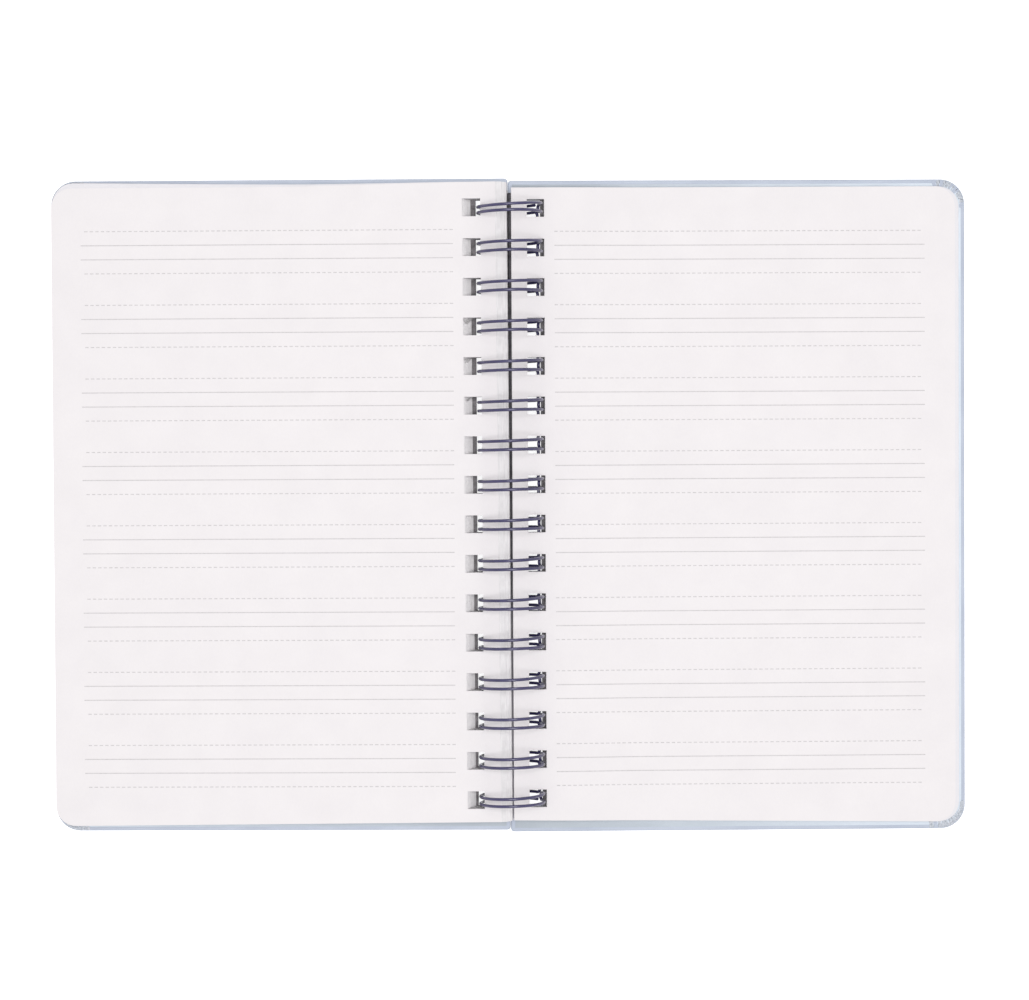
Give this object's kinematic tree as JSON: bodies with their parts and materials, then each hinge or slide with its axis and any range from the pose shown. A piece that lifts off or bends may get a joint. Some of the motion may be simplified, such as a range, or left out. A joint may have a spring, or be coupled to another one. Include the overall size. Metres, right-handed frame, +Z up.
{
  "type": "wire bound notebook",
  "caption": "Hardcover notebook bound with twin loops of coated wire, lying open, with ruled sheets on both sides and a hinge at the rings.",
  "frame": {"origin": "on the table, below the axis of the rings and midway along the covers", "axes": "+X across the open notebook towards the half with the fewer sheets, +Y along the rings towards the head of the pages, +Z up"},
  "size_m": [0.296, 0.2117, 0.0214],
  "materials": {
    "coated_wire": "steel wire with a smooth glossy coating in a dark violet blue",
    "greyboard": "raw grey binder's board, seen only in the punched holes",
    "cover_paper": "matt covering paper in a pale grey blue",
    "lining_paper": "matt lining paper in a paler grey blue",
    "page_paper": "smooth uncoated white paper with a faint warm lilac cast and pale grey ruling"
  },
  "bodies": {
    "back_half": {"wire_binding": "coated_wire", "back_cover_board": "greyboard", "back_cover_wrap": "cover_paper", "back_cover_liner": "lining_paper", "remaining_pages": "page_paper"},
    "front_half": {"front_cover_board": "greyboard", "front_cover_wrap": "cover_paper", "front_cover_liner": "lining_paper", "turned_pages": "page_paper"}
  },
  "joints": [
    {"name": "front_half_turn", "type": "hinge", "parent": "back_half", "child": "front_half", "pos_m": [0, 0, 0.0107], "axis": [0, 1, 0], "range_deg": [0, 182.4]}
  ]
}
